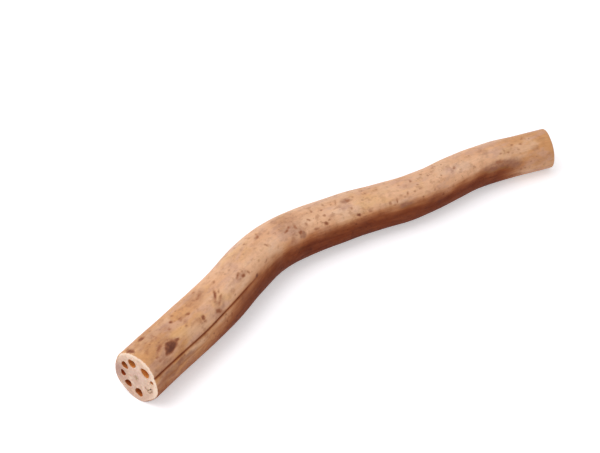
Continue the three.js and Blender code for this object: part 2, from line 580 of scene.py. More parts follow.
class Surface:
    """Gathers grids of points with their faces, values and bake-map places into one mesh."""

    def __init__(self):
        self.places, self.grown, self.values = [], [], []
        self.faces, self.map, self.slots = [], [], []
        self.count = 0

    def add(self, places, grown, values, chart, slot):
        """Adds a grid of shape (rows, columns): quads between neighbours in both directions.

        grown is each point's place in the root as if it were straight, values is a dictionary of
        point values, and chart gives each point's place on the bake map.
        """
        shape = places.shape[:2]
        corner = self.count + np.arange(shape[0] * shape[1]).reshape(shape)
        quads = np.stack([corner[:-1, :-1], corner[1:, :-1], corner[1:, 1:], corner[:-1, 1:]], -1)
        spots = np.stack([chart[:-1, :-1], chart[1:, :-1], chart[1:, 1:], chart[:-1, 1:]], 2)
        self.places.append(places.reshape(-1, 3))
        self.grown.append(grown.reshape(-1, 3))
        self.values.append({name: np.broadcast_to(v, shape).ravel() for name, v in values.items()})
        self.faces.append(quads.reshape(-1, 4))
        self.map.append(spots.reshape(-1, 2))
        self.slots.append(np.full(len(self.faces[-1]), slot))
        self.count += corner.size

    def mesh(self, name):
        """Puts everything into a mesh, joins what meets and turns the faces outwards."""
        mesh = bpy.data.meshes.new(name)
        corners = joined(self.faces, np.int32)
        starts = np.arange(0, corners.size, 4, dtype=np.int32)
        mesh.vertices.add(self.count)
        mesh.loops.add(corners.size)
        mesh.polygons.add(starts.size)
        mesh.vertices.foreach_set("co", joined(self.places))
        mesh.loops.foreach_set("vertex_index", corners)
        mesh.polygons.foreach_set("loop_start", starts)
        mesh.polygons.foreach_set("material_index", joined(self.slots, np.int32))
        mesh.polygons.foreach_set("use_smooth", np.ones(starts.size, bool))
        mesh.update(calc_edges=True)
        grown = mesh.attributes.new("grown", "FLOAT_VECTOR", "POINT")
        grown.data.foreach_set("vector", joined(self.grown))
        for value_name in POINT_VALUES:
            column = [
                values.get(value_name, np.zeros(len(places)))
                for values, places in zip(self.values, self.places)
            ]
            mesh.attributes.new(value_name, "FLOAT", "POINT").data.foreach_set("value", joined(column))
        mesh.uv_layers.new(name="OFBake").data.foreach_set("uv", joined(self.map))
        work = bmesh.new()
        work.from_mesh(mesh)
        bmesh.ops.remove_doubles(work, verts=work.verts, dist=JOIN_DISTANCE)
        bmesh.ops.recalc_face_normals(work, faces=work.faces)
        work.to_mesh(mesh)
        work.free()
        if any(edge.is_loose for edge in mesh.edges):
            raise RuntimeError("the root's surface has loose edges")
        return mesh


def skin_columns(form):
    """The angles of the skin's columns, and for each channel the columns that bound its sector.

    The columns lie closer together near the creases: their density around the stem is 1 plus a
    bell there, and they are spaced evenly on its running sum. A sector ends at the column nearest
    to the middle of the gap between two channels. The first column is the last one again.
    """
    angle, ring, around, _ = np.array(CHANNELS).T
    angle = np.radians(angle)
    half = np.arctan2(around / 2, ring)
    following = np.roll(angle - half, -1)
    following[-1] += 2 * np.pi
    gaps = (angle + half + following) / 2
    fine = gaps[-1] + np.linspace(-2 * np.pi, 0, FINE_TURNS)
    density = 1 + form.crease_focus * np.exp(-((between(fine, CREASE_TURN) / CREASE_SPREAD) ** 2))
    running = np.concatenate([[0], np.cumsum((density[1:] + density[:-1]) / 2)])
    turns = np.interp(np.linspace(0, running[-1], form.skin_columns + 1), running, fine)
    bounds = np.abs(turns[None] - gaps[:, None]).argmin(axis=1)
    return turns, np.concatenate([[0], bounds])


def rounded_rows(rows, roundings, steps):
    """Rows along the root with a quarter-round at both ends: t, and how far the edge is drawn in.

    On a quarter-round of radius r, a row that has turned by an angle a stands r (1 - cos a) back
    from the cut and is drawn in by r (1 - sin a).
    """
    bend = np.linspace(0, np.pi / 2, steps + 1)
    back = np.outer(roundings, 1 - np.cos(bend)) / LENGTHS[-1]
    drawn = np.outer(roundings, 1 - np.sin(bend))
    body = np.linspace(back[0, -1], 1 - back[1, -1], rows)[1:-1]
    t = np.concatenate([back[0], body, 1 - back[1, ::-1]])
    return t, np.concatenate([drawn[0], np.zeros(len(body)), drawn[1, ::-1]])


def hole_point(index, phi, t, grow=0.0):
    """A point of one channel's outline, seen from the channel's middle at angle phi.

    The outline is an oval with one axis towards the middle of the root, made uneven by three
    small cosines of its own. grow widens it. The torn channel is pinched together at both sides
    near the wide cut, and the pinch falls off as a bell along it.
    """
    angle, ring, around, inward = CHANNELS[index]
    turn = np.radians(angle)
    draw = np.random.default_rng(CHANNEL_SEED + index)
    lean = phi - turn
    half_in, half_round = inward / 2, around / 2
    oval = half_in * half_round / np.hypot(half_round * np.cos(lean), half_in * np.sin(lean))
    for crests, height in CHANNEL_WAVES:
        phase = draw.uniform(*PHASES)
        drift = draw.uniform(*CHANNEL_DRIFT) * t
        oval = oval * (1 + height * np.cos(crests * phi + phase + drift))
    reach = oval * radius_at(t) + grow
    if index == TORN_CHANNEL:
        pinch = ease((np.abs(np.sin(phi - TEAR_TURN)) - TEAR_OPEN) / TEAR_EASE)
        bridge = np.exp(-((t * LENGTHS[-1] / TEAR_LENGTH) ** 2))
        reach = reach * (1 - TEAR_GRIP * pinch * bridge)
    middle = around_at(ring * radius_at(t) * fullness(turn, t), turn)
    outward = around_at(reach, phi)
    return middle[0] + outward[0], middle[1] + outward[1]


def cut_relief(left, up, end):
    """How far a cut face stands back from its plane, never ahead of it.

    It is a shallow dish, with the faint parallel steps that a blade leaves.
    """
    reach = np.hypot(left, up) / MEAN_RADIUS
    across = (left * BLADE_WAY[0] + up * BLADE_WAY[1]) / BLADE_LENGTH
    steps = np.sin(across + 2 * np.sin(left / BLADE_WANDER) + end)
    return DISH_DEPTH * ease(DISH_REACH - reach) + BLADE_STEP * (1 + steps)


def edge_relief(left, up, t, fade_mm):
    """The relief of the nearer cut face carried on over its edge, where it falls off with depth."""
    relief = np.where(t < 0.5, cut_relief(left, up, 0), -cut_relief(left, up, 1))
    return relief * np.exp(-depth_mm(t) / fade_mm)


def skin_grid(surface, form):
    """The skin: rows along the root and columns around it, with both rims rounded."""
    turns, _ = skin_columns(form)
    t, drawn = rounded_rows(form.skin_rows, form.rim_roundings, form.rim_steps)
    turn, t = np.meshgrid(turns, t)
    left, up = around_at(skin_reach(turn, t, form) - drawn[:, None], turn)
    along = way_along(left, up, t)
    values = {
        "scar": mark_field(SCARS, turn, along),
        "stain": mark_field(STAINS, turn, along),
        "crease": crease_field(turn, along),
        # the lower half's brown, partly painted shade
        "brown_and_shade": brown_and_shade_field(turn, along),
        "depth": depth_mm(t),
        "rim": np.ones_like(t),
    }
    places = carry(left, up, t, edge_relief(left, up, t, RIM_FADE_MM))
    grown = grown_place(left, up, t)
    across = np.linspace(0, 1, len(turns))[None] * np.ones_like(t)
    half = len(t) // 2
    for rows, box in zip((slice(0, half + 1), slice(half, len(t))), SKIN_BOXES):
        part = t[rows]
        stretch = (part - part[0, 0]) / (part[-1, 0] - part[0, 0])
        chart = on_map(box, stretch, across[rows])
        part_values = {name: value[rows] for name, value in values.items()}
        surface.add(places[rows], grown[rows], part_values, chart, SKIN_SLOT)


def sector_loop(index, end, turns, bounds, form):
    """The closed outline of one channel's share of a cut face, as left and up.

    It runs out along the rim, in along one side, back along the edge of the core and out along
    the other side. The sides are straight lines from the rim to the core.
    """
    first, last = bounds[index], bounds[index + 1]
    arc = turns[first : last + 1]
    rim = skin_reach(arc, float(end), form) - form.rim_roundings[end]
    core = CORE_REACH * radius_at(end) * fullness(arc, float(end))
    share = np.linspace(0, 1, form.side_steps + 1)[1:-1]
    inwards = rim[-1] + (core[-1] - rim[-1]) * share
    outwards = core[0] + (rim[0] - core[0]) * share
    reach = np.concatenate([rim, inwards, core[::-1], outwards])
    sides = np.full(len(share), arc[-1]), np.full(len(share), arc[0])
    return around_at(reach, np.concatenate([arc, sides[0], arc[::-1], sides[1]]))


def loop_directions(index, end, turns, bounds, form):
    """A sector's outline, and the angle of each of its points as seen from the channel's middle."""
    left, up = sector_loop(index, end, turns, bounds, form)
    angle, ring = CHANNELS[index][:2]
    turn = np.radians(angle)
    middle = around_at(ring * radius_at(end) * fullness(turn, float(end)), turn)
    return left, up, np.unwrap(np.arctan2(up - middle[1], left - middle[0]))


def add_face(surface, left, up, end):
    """Carries one grid of a cut face into place and adds it.

    Its rim value is how near a point is to the skin, from 0 in the middle to 1.
    """
    t = float(end)
    sign = 1 - 2 * end
    full = radius_at(t) * fullness(np.arctan2(up, left), t)
    values = {"rim": np.clip(np.hypot(left, up) / full, 0, 1)}
    box = (FACE_MIDDLE[0] + FACE_STEP * end, FACE_MIDDLE[1], FACE_SIZE, FACE_SIZE)
    places = carry(left, up, t, sign * cut_relief(left, up, end))
    surface.add(places, grown_place(left, up, t), values, on_map(box, left, up), FLESH_SLOT)


def face_grids(surface, end, form):
    """One cut face: a grid from each channel's mouth to its sector's outline, and the core.

    A sector's grid runs in straight lines from a point of the mouth to the point of the outline
    in the same direction. The core is a disc of rings around the axis.
    """
    turns, bounds = skin_columns(form)
    t = float(end)
    share = ease(np.linspace(0, 1, form.face_steps + 1) * FACE_SPREAD) / ease(FACE_SPREAD)
    share = share[:, None]
    for index in range(len(CHANNELS)):
        left, up, phi = loop_directions(index, end, turns, bounds, form)
        mouth_left, mouth_up = hole_point(index, phi, t, form.lip_rounding)
        grid_left = mouth_left + (left - mouth_left) * share
        grid_up = mouth_up + (up - mouth_up) * share
        add_face(surface, closed(grid_left), closed(grid_up), end)
    core = CORE_REACH * radius_at(t) * fullness(turns, t)
    rings = np.linspace(1, 0, form.core_steps + 1)[:, None]
    add_face(surface, *around_at(rings * core, turns), end)


def channel_grid(surface, index, form):
    """One air channel: rows along the root, each a loop around the channel, with rounded lips.

    The loop's points keep the directions of the sector's outline, which change evenly from the
    wide cut to the narrow one.
    """
    turns, bounds = skin_columns(form)
    wide, narrow = (loop_directions(index, end, turns, bounds, form)[2] for end in (0, 1))
    t, grow = rounded_rows(form.channel_rows, [form.lip_rounding] * 2, form.lip_steps)
    near = MOUTH_ROWS / LENGTHS[-1]
    t = np.concatenate([t, near, 1 - near[::-1]])
    grow = np.concatenate([grow, np.zeros(2 * len(near))])
    order = np.argsort(t)
    t, grow = t[order][:, None], grow[order][:, None]
    left, up = hole_point(index, wide + (narrow - wide) * t, t, grow)
    left, up = closed(left), closed(up)
    places = carry(left, up, t, edge_relief(left, up, t, LIP_FADE_MM))
    values = {
        "depth": depth_mm(t) / PALE_MOUTHS[index],
        "lining": np.full_like(left, LININGS[index]),
    }
    box = (CHANNEL_BOX[0], CHANNEL_BOX[1] + CHANNEL_STEP * index, *CHANNEL_BOX[2:])
    across = np.linspace(0, 1, left.shape[1])[None] * np.ones_like(t)
    chart = on_map(box, t * np.ones_like(left), across)
    surface.add(places, grown_place(left, up, t), values, chart, CHANNEL_SLOT)


def root_mesh(form):
    """The whole root as one closed mesh, moved so that it fills the solid's place in plan."""
    surface = Surface()
    skin_grid(surface, form)
    for end in (0, 1):
        face_grids(surface, end, form)
    for index in range(len(CHANNELS)):
        channel_grid(surface, index, form)
    turns = np.linspace(0, 2 * np.pi, OUTLINE_TURNS)
    turn, t = np.meshgrid(turns, np.linspace(0, 1, OUTLINE_ROWS))
    reach = radius_at(t) * fullness(turn, t)
    outline = carry(*around_at(reach, turn), t)[..., :2].reshape(-1, 2)
    low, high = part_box(NODE)
    shift = np.array((low + high) / 2)[:2] - (outline.min(0) + outline.max(0)) / 2
    surface.places = [places + (*shift, 0.0) for places in surface.places]
    return surface.mesh(PIECE)


# ---------------------------------------------------------------------------------------------
# Finishes
# ---------------------------------------------------------------------------------------------

# The inputs of the shared patterns, with their defaults. Sizes are in millimetres.
PATTERN_INPUTS = {
    "uneven_patches": {
        "Size": 5.0,
        "Stretch": 1.0,
        "Cover": 0.5,
        "Softness": 0.1,
        "Detail": 3.0,
        "Seed": 0.0,
    },
    "flecks": {"Size": 3.0, "Stretch": 1.5, "Fill": 0.4, "Fray": 0.4},
    "fibres": {"Width": 0.8, "Length": 14.0},
}

# Each use of a pattern: its kind and its inputs in the order above.
PATTERNS = {
    "weathering": ("uneven_patches", 26, 2.0, 0.5, 0.3, 3, 1),
    "skin_pale": ("uneven_patches", 13, 2.2, 0.46, 0.08, 3, 2),
    "skin_gold": ("uneven_patches", 19, 1.6, 0.42, 0.07, 3, 11),
    "skin_rose": ("uneven_patches", 8, 2.6, 0.44, 0.07, 3, 9),
    "grain": ("uneven_patches", 1.7, 1.5, 0.5, 0.4, 4, 12),
    "clusters": ("uneven_patches", 24, 1.5, 0.5, 0.12, 3, 4),
    "mottle": ("uneven_patches", 4.0, 1.3, 0.42, 0.09, 5, 3),
    "bruises": ("uneven_patches", 11, 1.4, 0.36, 0.1, 4, 14),
    "browning": ("uneven_patches", 6.0, 3.0, 0.5, 0.3, 5, 13),
    "stain_breakup": ("uneven_patches", 3.4, 1.6, 0.5, 0.35, 4, 5),
    "scar_raggedness": ("uneven_patches", 1.6, 1.2, 0.5, 0.3, 3, 6),
    "bared_edge": ("uneven_patches", 1.5, 0.6, 0.5, 0.3, 3, 10),
    "dullness": ("uneven_patches", 9, 2.0, 0.5, 0.25, 3, 7),
    "roughness": ("uneven_patches", 0.9, 1.5, 0.5, 0.4, 3, 8),
    "flesh_blotch": ("uneven_patches", 4.5, 1.0, 0.5, 0.12, 3, 11),
    "flesh_fine": ("uneven_patches", 1.4, 1.0, 0.46, 0.14, 4, 12),
    "flesh_white": ("uneven_patches", 3.0, 1.0, 0.42, 0.1, 4, 15),
    "small_flecks": ("flecks", 3.4, 1.2, 0.42, 0.3),
    "large_flecks": ("flecks", 9.0, 1.3, 0.3, 0.9),
    "specks": ("flecks", 1.7, 1.2, 0.3, 0.4),
    "flesh_dots": ("flecks", 1.5, 1.0, 0.32, 0.5),
    "skin_fibres": ("fibres", 0.7, 16.0),
    "skin_streaks": ("fibres", 1.8, 12.0),
    "lining_fibres": ("fibres", 0.5, 12.0),
}

# Directions and places in the root as if it were straight: along, left and up, in millimetres.
ALONG = (1, 0, 0)
LEFT_AND_DOWN = (0, 0.6, -0.8)
MOSTLY_UP = (0, 0.3, 1)
FLESH_DARK_PLACE = (0, 13.5, -1.5)
TEAR_PLACE = (0, -9.4, -3.3)


# Below, depth, ways and distances are in millimetres. Masks, amounts and rim go from 0 to 1.


class NodeTree:
    """A node tree with short ways to add to it. Most of them give the new node's output."""

    def __init__(self, tree):
        self.tree = tree

    def add(self, kind, inputs=None, **settings):
        """Adds a node, applies its settings and fills its inputs."""
        node = self.tree.nodes.new(kind)
        for name, value in settings.items():
            setattr(node, name, value)
        self.fill(node, inputs or {})
        return node

    def fill(self, node, inputs):
        """Fills a node's inputs: a socket is linked, and any other value is set."""
        for key, value in inputs.items():
            if isinstance(value, bpy.types.NodeSocket):
                self.tree.links.new(value, node.inputs[key])
            else:
                node.inputs[key].default_value = value

    def attribute(self, name, output="Fac"):
        """An attribute of the mesh."""
        return self.add("ShaderNodeAttribute", attribute_name=name).outputs[output]

    def math(self, operation, *values, clamp=False):
        """A calculation on one, two or three values."""
        inputs = dict(enumerate(values))
        return self.add("ShaderNodeMath", inputs, operation=operation, use_clamp=clamp).outputs[0]

    def times(self, first, second):
        """first times second."""
        return self.math("MULTIPLY", first, second)

    def plus(self, first, second):
        """first plus second."""
        return self.math("ADD", first, second)

    def less(self, first, second):
        """first less second."""
        return self.math("SUBTRACT", first, second)

    def scaled(self, value, factor, start):
        """value times factor, plus start."""
        return self.math("MULTIPLY_ADD", value, factor, start)

    def mix(self, factor, first, second, blend_type="MIX"):
        """The colours first and second, mixed by factor."""
        inputs = {0: factor, 6: first, 7: second}
        node = self.add("ShaderNodeMix", inputs, data_type="RGBA", blend_type=blend_type)
        return node.outputs[2]

    def remap(self, value, low, high, to_low=0.0, to_high=1.0):
        """Maps value smoothly from low..high to to_low..to_high, and holds it there."""
        inputs = {0: value, 1: low, 2: high, 3: to_low, 4: to_high}
        return self.add("ShaderNodeMapRange", inputs, interpolation_type="SMOOTHSTEP").outputs[0]

    def vector(self, operation, inputs):
        """The outputs of a calculation on vectors."""
        return self.add("ShaderNodeVectorMath", inputs, operation=operation).outputs

    def stretched(self, place, size, stretch):
        """The place measured in pattern sizes, with the pattern drawn out along the root."""
        scale = {0: self.times(size, stretch), 1: size, 2: size}
        scale = self.add("ShaderNodeCombineXYZ", scale).outputs[0]
        return self.vector("DIVIDE", {0: place, 1: scale})[0]

    def seen(self):
        """1 for what the camera sees itself, in a reflection or through something clear, or 0."""
        rays = self.add("ShaderNodeLightPath").outputs
        seen = self.math("ADD", rays["Is Camera Ray"], rays["Is Glossy Ray"], clamp=True)
        return self.math("ADD", seen, rays["Is Transmission Ray"], clamp=True)


class Coat(NodeTree):
    """A material with a Principled surface, and the shared patterns at hand for it."""

    def __init__(self, name, groups=None):
        self.material = bpy.data.materials.new(name)
        self.material.use_nodes = True
        super().__init__(self.material.node_tree)
        self.tree.nodes.clear()
        self.surface = self.add("ShaderNodeBsdfPrincipled")
        self.add("ShaderNodeOutputMaterial", {"Surface": self.surface.outputs[0]})
        self.groups = groups
        if groups:
            self.place = self.attribute("grown", "Vector")

    def way(self, direction):
        """How far a point of the root lies in a direction."""
        return self.vector("DOT_PRODUCT", {0: self.place, 1: direction})["Value"]

    def distance(self, point):
        """How far a point of the root lies from another."""
        return self.vector("DISTANCE", {0: self.place, 1: point})["Value"]

    def pattern(self, name):
        """One of PATTERNS, laid over the root."""
        kind, *values = PATTERNS[name]
        inputs = {"Place": self.place} | dict(zip(PATTERN_INPUTS[kind], values))
        return self.add("ShaderNodeGroup", inputs, node_tree=self.groups[kind]).outputs[0]

    def bump(self, height, distance_mm):
        """Feeds a height to the surface's normal."""
        inputs = {"Height": height, "Distance": distance_mm * MM, "Strength": 1.0}
        self.fill(self.surface, {"Normal": self.add("ShaderNodeBump", inputs).outputs[0]})


def new_group(kind, output):
    """A shader node group for one kind of pattern: its tree, its inputs and its output."""
    group = bpy.data.node_groups.new(kind, "ShaderNodeTree")
    sockets = group.interface
    sockets.new_socket(name="Place", in_out="INPUT", socket_type="NodeSocketVector")
    for label, default in PATTERN_INPUTS[kind].items():
        socket = sockets.new_socket(name=label, in_out="INPUT", socket_type="NodeSocketFloat")
        socket.default_value = default
    sockets.new_socket(name=output, in_out="OUTPUT", socket_type="NodeSocketFloat")
    nodes = NodeTree(group)
    return nodes, nodes.add("NodeGroupInput").outputs, nodes.add("NodeGroupOutput")


def patches_group():
    """Soft uneven patches: noise of a given size, cut at a level that leaves the given cover."""
    nodes, given, result = new_group("uneven_patches", "Mask")
    place = nodes.stretched(given["Place"], given["Size"], given["Stretch"])
    noise = {"Vector": place, "W": given["Seed"], "Detail": given["Detail"]}
    noise |= {"Scale": 1.0, "Roughness": 0.6}
    noise = nodes.add("ShaderNodeTexNoise", noise, noise_dimensions="4D").outputs[0]
    level = nodes.less(1.0, given["Cover"])
    low = nodes.less(level, given["Softness"])
    high = nodes.plus(level, given["Softness"])
    nodes.fill(result, {"Mask": nodes.remap(noise, low, high)})
    return nodes.tree


def flecks_group():
    """Small separate flecks: round cells, only some of them filled, with frayed edges.

    A cell draws a number from 0 to 1, and is filled where the number is less than Fill. Its
    radius is then 0.55 times the sum of 0.12 and the difference, in cells, and its edge is soft.
    """
    nodes, given, result = new_group("flecks", "Mask")
    place = nodes.stretched(given["Place"], given["Size"], given["Stretch"])
    wobble = {"Vector": place, "Scale": 2.2, "Detail": 2.0}
    wobble = nodes.add("ShaderNodeTexNoise", wobble).outputs["Color"]
    centred = nodes.vector("SUBTRACT", {0: wobble, 1: (0.5, 0.5, 0.5)})[0]
    shift = nodes.vector("SCALE", {0: centred, "Scale": given["Fray"]})[0]
    moved = nodes.vector("ADD", {0: place, 1: shift})[0]
    cells = {"Vector": moved, "Scale": 1.0, "Randomness": 1.0}
    cells = nodes.add("ShaderNodeTexVoronoi", cells).outputs
    drawn = nodes.add("ShaderNodeSeparateColor", {0: cells["Color"]}).outputs[0]
    filled = nodes.less(given["Fill"], drawn)
    radius = nodes.times(nodes.plus(filled, 0.12), 0.55)
    mask = nodes.remap(nodes.less(radius, cells["Distance"]), -0.09, 0.16)
    mask = nodes.times(mask, nodes.math("GREATER_THAN", filled, 0.0))
    nodes.fill(result, {"Mask": mask})
    return nodes.tree


def fibres_group():
    """Fine fibres along the root: noise drawn out many times its width, between -1 and 1."""
    nodes, given, result = new_group("fibres", "Height")
    place = nodes.stretched(given["Place"], given["Width"], given["Length"])
    noise = {"Vector": place, "Scale": 1.0, "Detail": 4.0, "Roughness": 0.65}
    noise = nodes.add("ShaderNodeTexNoise", noise).outputs[0]
    nodes.fill(result, {"Height": nodes.remap(noise, 0.25, 0.75, -1.0, 1.0)})
    return nodes.tree


def skin_colour(skin, finish, clusters, small):
    """The clean skin with its flecks and soft bruises: ochre near the cuts and peach between."""
    weathered = skin.plus(skin.attribute("depth"), skin.times(skin.pattern("weathering"), 30))
    colour = skin.mix(skin.remap(weathered, 35, 85), finish.skin_ochre, finish.skin_peach)
    for name, amount in (("skin_pale", 0.7), ("skin_gold", 0.6), ("skin_rose", 0.6)):
        colour = skin.mix(skin.times(skin.pattern(name), amount), colour, getattr(finish, name))
    grain = skin.scaled(skin.pattern("grain"), 0.16, 0.92)
    grain = skin.scaled(skin.pattern("skin_fibres"), 0.035, grain)
    colour = skin.mix(1.0, colour, grain, "MULTIPLY")
    mottle = skin.times(skin.pattern("mottle"), skin.scaled(clusters, 0.3, 0.2))
    large = skin.times(skin.pattern("large_flecks"), skin.times(clusters, 0.7))
    specks = skin.times(skin.pattern("specks"), skin.scaled(clusters, 0.35, 0.3))
    for flecks in (mottle, small, large, specks):
        colour = skin.mix(flecks, colour, finish.fleck_russet)
    bruise = skin.times(skin.pattern("bruises"), 0.45)
    return skin.mix(bruise, colour, finish.bruise_mauve)


def skin_brown_and_shade(skin, finish):
    """How far the skin is browned: the lower half's brown and the creases, made uneven, both partly the
    skin's own brown and partly painted shade.

    The unevenness is patches and streaks, and is a tenth as strong where the skin isn't browned.
    """
    uneven = skin.scaled(skin.pattern("browning"), 0.3, -0.15)
    uneven = skin.scaled(skin.pattern("skin_streaks"), 0.1, uneven)
    brown_and_shade = skin.attribute("brown_and_shade")
    uneven = skin.times(uneven, skin.remap(brown_and_shade, -0.1, 0.35, 0.1, 1.0))
    # the creases add to the brown: partly their own colour, partly painted shade in the grooves
    brown_and_shade = skin.scaled(skin.attribute("crease"), finish.crease_brown_and_shade, brown_and_shade)
    # down to -0.06 the tint brightens the skin: the band of painted light above the brown
    return skin.math("MAXIMUM", skin.plus(brown_and_shade, uneven), -0.06)


def skin_edges(skin, finish, colour, far):
    """The skin at the cuts: ochre again at the narrow one, and pale where the cut bares it."""
    depth = skin.attribute("depth")
    rind = skin.times(skin.remap(depth, 0.5, 5.0, 0.5, 0.0), skin.remap(far, 250.0, 300.0))
    colour = skin.mix(rind, colour, finish.skin_ochre)
    bared = skin.plus(depth, skin.times(skin.pattern("bared_edge"), 0.4))
    bared = skin.plus(bared, skin.remap(skin.way(LEFT_AND_DOWN), -8.0, 12.0, -0.15, 0.35))
    return skin.mix(skin.remap(bared, 0.12, 0.4, 1.0, 0.0), colour, finish.flesh_rim)


def skin_material(finish, groups):
    """The thin skin: ochre to peach, with long fibres, brown flecks, scars, stains and creases."""
    skin = Coat("lotus_skin", groups)
    far = skin.way(ALONG)
    clusters = skin.pattern("clusters")
    clusters = skin.math("MAXIMUM", clusters, skin.remap(far, 30.0, 75.0, 0.9, 0.0))
    small = skin.times(skin.pattern("small_flecks"), skin.scaled(clusters, 0.5, 0.3))
    colour = skin_colour(skin, finish, clusters, small)

    brown_and_shade = skin_brown_and_shade(skin, finish)
    # the lower half and the creases are tinted by this, partly their own brown and partly painted shade
    brown_shade_tint = {"Color": finish.skin_umber_and_shade, "Gamma": brown_and_shade}
    brown_shade_tint = skin.add("ShaderNodeGamma", brown_shade_tint).outputs[0]
    colour = skin.mix(1.0, colour, brown_shade_tint, "MULTIPLY")
    stain = skin.scaled(skin.pattern("stain_breakup"), 0.9, 0.5)
    stain = skin.times(skin.attribute("stain"), stain)
    colour = skin.mix(skin.remap(stain, 0.08, 0.95), colour, finish.stain_brown, "DARKEN")
    scar = skin.times(skin.pattern("scar_raggedness"), 0.3)
    scar = skin.less(skin.attribute("scar"), scar)
    colour = skin.mix(skin.remap(scar, -0.1, 0.65), colour, finish.fleck_russet, "DARKEN")
    colour = skin.mix(skin.remap(scar, 0.4, 1.1), colour, finish.scar_brown, "DARKEN")
    colour = skin_edges(skin, finish, colour, far)

    dull = skin.scaled(skin.pattern("dullness"), 0.12, finish.skin_roughness - 0.06)
    worn = skin.math("MAXIMUM", skin.remap(scar, 0.0, 0.4, 0.0, 0.15), skin.times(brown_and_shade, 0.2))
    rough = skin.times(skin.pattern("roughness"), 0.35)
    height = skin.plus(skin.times(small, -0.5), rough)
    height = skin.plus(skin.times(skin.pattern("skin_fibres"), 0.3), height)
    skin.bump(height, 0.16)
    surface = {"Base Color": colour, "Roughness": skin.plus(dull, worn), "Specular IOR Level": 0.17}
    skin.fill(skin.surface, surface)
    return skin.material


def torn_line(flesh, fine):
    """Brown crescents around the torn channel: a ring of 2.5 mm, uneven, and only its lower part."""
    ring = flesh.less(flesh.scaled(fine, 0.6, flesh.distance(TEAR_PLACE)), 2.5)
    line = flesh.remap(flesh.math("ABSOLUTE", ring), 0.15, 0.8, 0.75, 0.0)
    return flesh.times(line, flesh.remap(flesh.way(MOSTLY_UP), -5.8, -4.2, 1.0, 0.0))


def flesh_material(finish, groups):
    """The cut flesh: cream with a pale band under the skin, a rosy middle, pores and knife marks."""
    flesh = Coat("lotus_flesh", groups)
    rim = flesh.attribute("rim")
    blotch = flesh.pattern("flesh_blotch")
    fine = flesh.pattern("flesh_fine")
    ring = flesh.plus(rim, flesh.scaled(blotch, 0.1, -0.05))
    # the face is darker towards its left and bottom, and darker still at a spot on its left; its pale
    # band fades out there
    side = flesh.scaled(blotch, 5.0, flesh.way(LEFT_AND_DOWN))
    colour = flesh.mix(flesh.remap(ring, 0.15, 0.6), finish.flesh_rose, finish.flesh_cream)
    colour = flesh.mix(flesh.remap(side, -7.0, 13.0), colour, finish.flesh_shade)
    colour = flesh.mix(flesh.times(fine, 0.6), colour, finish.flesh_shade)
    colour = flesh.mix(flesh.times(flesh.pattern("flesh_white"), 0.55), colour, finish.flesh_rim)
    band = flesh.times(flesh.remap(ring, 0.78, 0.91), flesh.remap(side, -7.0, 6.0, 1.0, 0.15))
    colour = flesh.mix(band, colour, finish.flesh_rim)
    bruise = flesh.scaled(blotch, 2.0, flesh.distance(FLESH_DARK_PLACE))
    colour = flesh.mix(flesh.remap(bruise, 3.0, 10.0, 0.85, 0.0), colour, finish.flesh_dark_left)
    torn = torn_line(flesh, fine)
    colour = flesh.mix(torn, colour, finish.flesh_pore, "MULTIPLY")
    dots = flesh.pattern("flesh_dots")
    colour = flesh.mix(flesh.times(dots, 0.35), colour, finish.flesh_pore)
    pith = flesh.plus(rim, flesh.times(fine, 0.09))
    colour = flesh.mix(flesh.remap(pith, 0.05, 0.22, 1.0, 0.0), colour, finish.flesh_pore)
    height = flesh.less(flesh.times(fine, 0.5), flesh.times(dots, 0.6))
    flesh.bump(flesh.less(height, flesh.times(torn, 1.5)), 0.2)
    surface = {
        "Base Color": colour,
        "Roughness": 0.5,
        "Specular IOR Level": 0.4,
        "Subsurface Weight": 0.15,
        "Subsurface Radius": (1.0, 0.45, 0.2),
        "Subsurface Scale": 2.0 * MM,
    }
    flesh.fill(flesh.surface, surface)
    return flesh.material


def channel_material(finish, groups):
    """The lining of the air channels: flesh at the mouth, orange-brown and streaked further in.
    The orange is partly painted glow of light through the flesh, and the darkening further in
    partly painted shade.
    """
    lining = Coat("lotus_channel", groups)
    depth = lining.attribute("depth")
    fibres = lining.pattern("lining_fibres")
    inner = lining.mix(lining.attribute("lining"), finish.channel_brown_shade, finish.channel_tan_glow)
    colour = lining.mix(lining.remap(depth, 0.05, 0.6), finish.flesh_cream, inner)
    # darker further in: partly painted shade deep in the channel
    colour = lining.mix(lining.remap(depth, 3.0, 14.0), colour, finish.channel_brown_shade)
    colour = lining.mix(1.0, colour, lining.scaled(fibres, 0.14, 1.0), "MULTIPLY")
    lining.bump(fibres, 0.1)
    surface = {"Base Color": colour, "Roughness": 0.6, "Specular IOR Level": 0.25}
    lining.fill(lining.surface, surface)
    return lining.material


# ---------------------------------------------------------------------------------------------
# Settings, operators and panel
# ---------------------------------------------------------------------------------------------

KEY_PLACE = (-0.75, 0.35, 1.55)
FRONT_PLACE = (-1.3, -0.5, 0.7)
LIT_POINT = (0, 0, 0)
CAMERA_PLACE = (-0.3281, -0.3383)  # in plan
CAMERA_DOWN = 38.5  # how far it looks down, and the way it faces, in degrees
CAMERA_HEADING = 50.34
SENSOR_WIDTH = 36.0  # millimetres
NEAR_CLIP = 0.01
FLOOR_LIFT_FROM = (1.0, 2.5)  # the floor's lift changes between these distances from the root


def amount_setting(name, description, default, **limits):
    """A number, not less than 0 unless limits say otherwise, that the user can change."""
    return FloatProperty(name=name, description=description, default=default, **{"min": 0} | limits)


def length_setting(name, description, default):
    """A length that the user can change, in metres."""
    return amount_setting(name, description, default, unit="LENGTH", precision=5)


def count_setting(name, description, default, low):
    """A whole number that the user can change."""
    return IntProperty(name=name, description=description, default=default, min=low)


def colour_setting(name, description, default):
    """A colour that the user can change."""
    limits = {"size": 4, "subtype": "COLOR", "min": 0, "max": 1}
    return FloatVectorProperty(name=name, description=description, default=(*default, 1), **limits)


